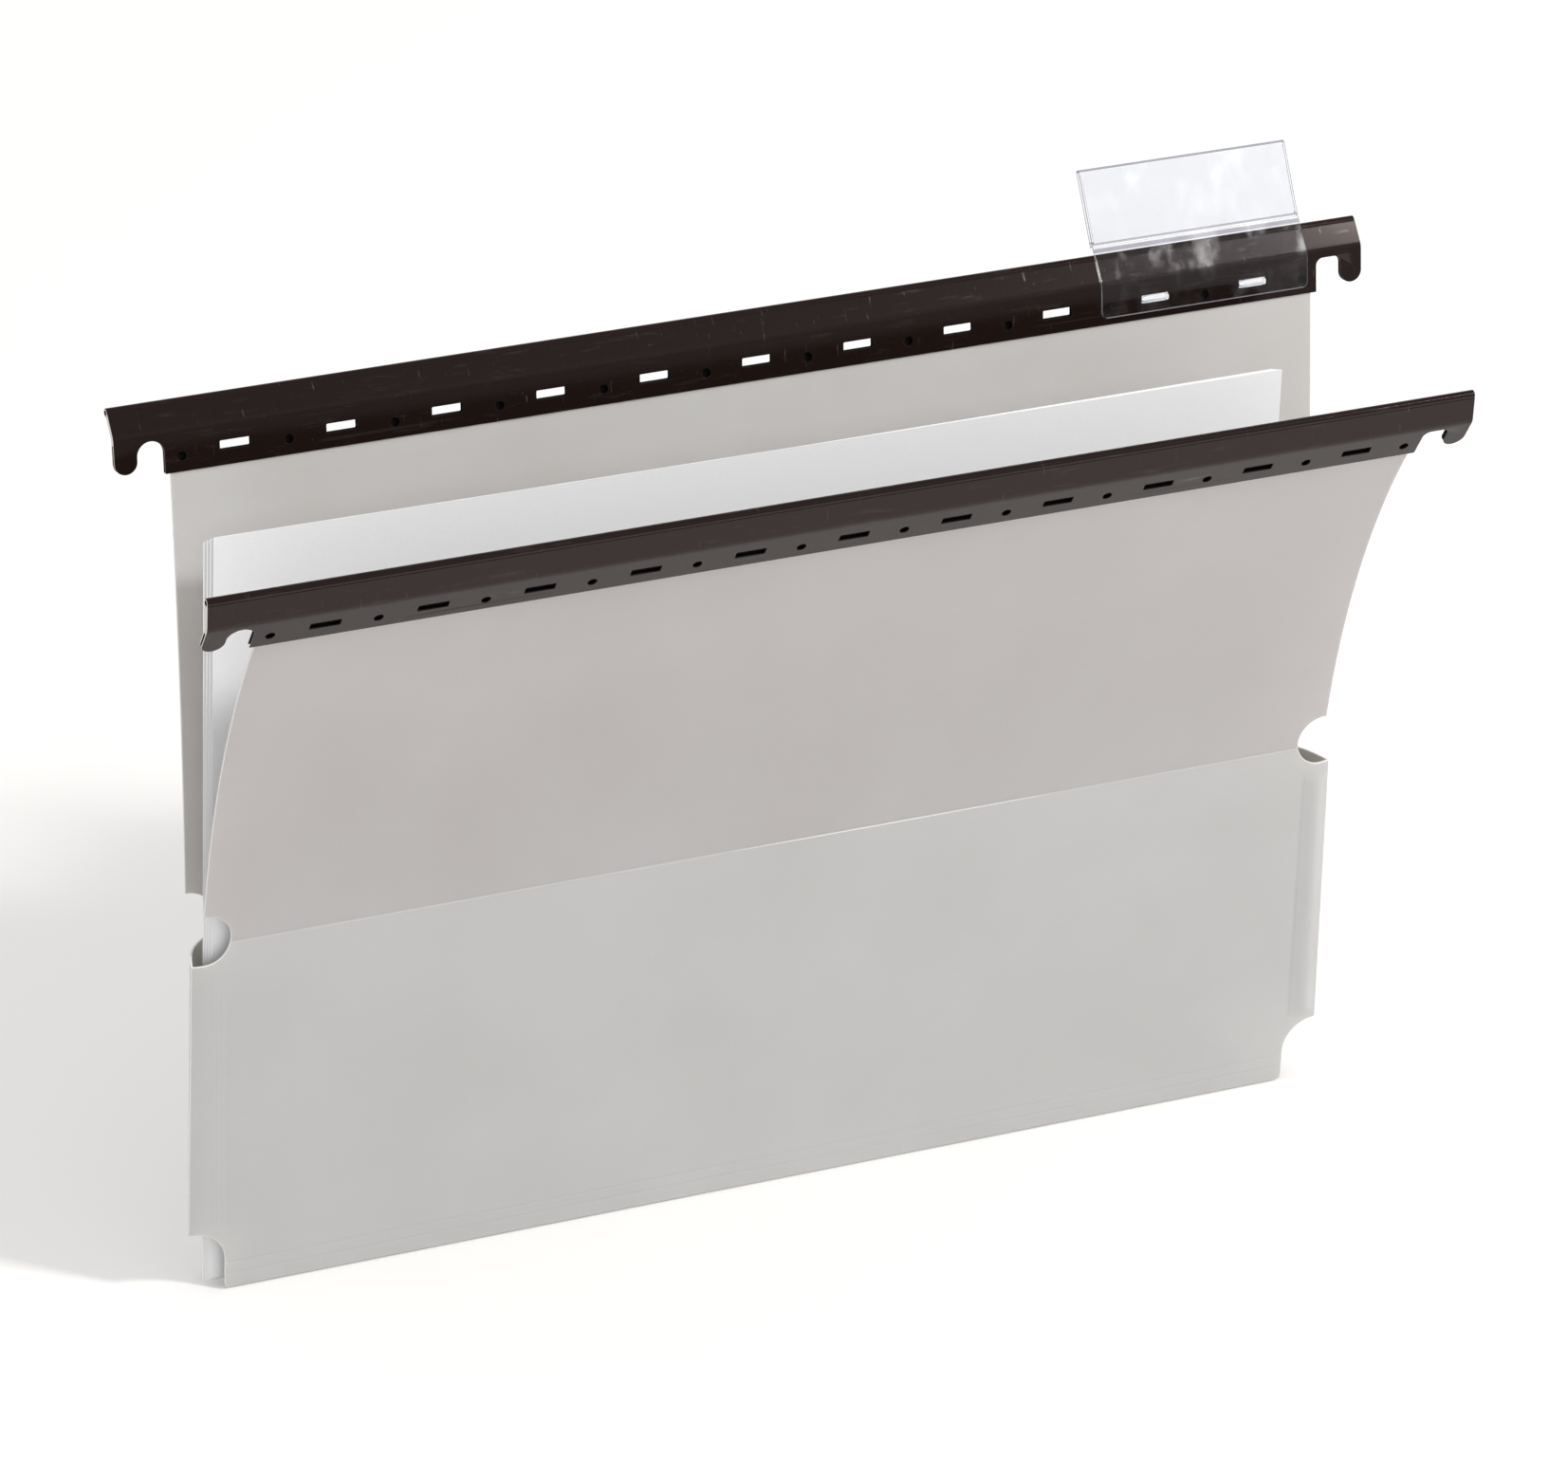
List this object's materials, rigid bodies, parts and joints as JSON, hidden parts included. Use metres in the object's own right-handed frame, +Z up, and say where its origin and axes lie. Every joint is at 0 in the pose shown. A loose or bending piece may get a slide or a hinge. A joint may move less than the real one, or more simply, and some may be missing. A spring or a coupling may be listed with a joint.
{
  "type": "hanging file folder",
  "caption": "Hanging file folder: grey plastic pocket with two creased flaps on hooked steel rails, a clear index tab and loose papers.",
  "frame": {"origin": "midway between the crowns of the back rail's two hook notches, where the folder hangs", "axes": "+X along the rails to the right seen from the front, +Y to the back, +Z up"},
  "size_m": [0.348, 0.0823, 0.2585],
  "materials": {
    "grey_sheet": "fine matt",
    "rail_lacquer": "satin lacquer",
    "clear_plastic": "clear gloss",
    "white_paper": "uncoated"
  },
  "bodies": {
    "back_leaf": {"back_flap": "grey_sheet", "back_rail": "rail_lacquer"},
    "pocket": {"pocket_sheet": "grey_sheet"},
    "front_leaf": {"front_flap": "grey_sheet", "front_rail": "rail_lacquer"},
    "index_tab": {"index_tab": "clear_plastic"},
    "label_card": {"label_card": "white_paper"},
    "papers": {"paper_sheet_1": "white_paper", "paper_sheet_2": "white_paper", "paper_sheet_3": "white_paper", "paper_sheet_4": "white_paper"}
  },
  "joints": [
    {"name": "back_crease", "type": "hinge", "parent": "back_leaf", "child": "pocket", "pos_m": [0, -0.01392, -0.13006], "axis": [1, 0, 0], "range_deg": [-5, 150], "stiffness_Nm_per_rad": 0.5, "springref_deg": -5.16},
    {"name": "front_crease", "type": "hinge", "parent": "pocket", "child": "front_leaf", "pos_m": [0, -0.02642, -0.13006], "axis": [1, 0, 0], "range_deg": [-12, 150], "stiffness_Nm_per_rad": 0.2, "springref_deg": -8.02},
    {"name": "paper_lift", "type": "slide", "parent": "pocket", "child": "papers", "axis": [0, 0.0199, 0.9998], "range_m": [0, 0.215]},
    {"name": "tab_pull", "type": "slide", "parent": "back_leaf", "child": "index_tab", "axis": [0, -0.9877, 0.1564], "range_m": [0, 0.012]},
    {"name": "card_slide", "type": "slide", "parent": "index_tab", "child": "label_card", "axis": [1, 0, 0], "range_m": [0, 0.062]}
  ]
}
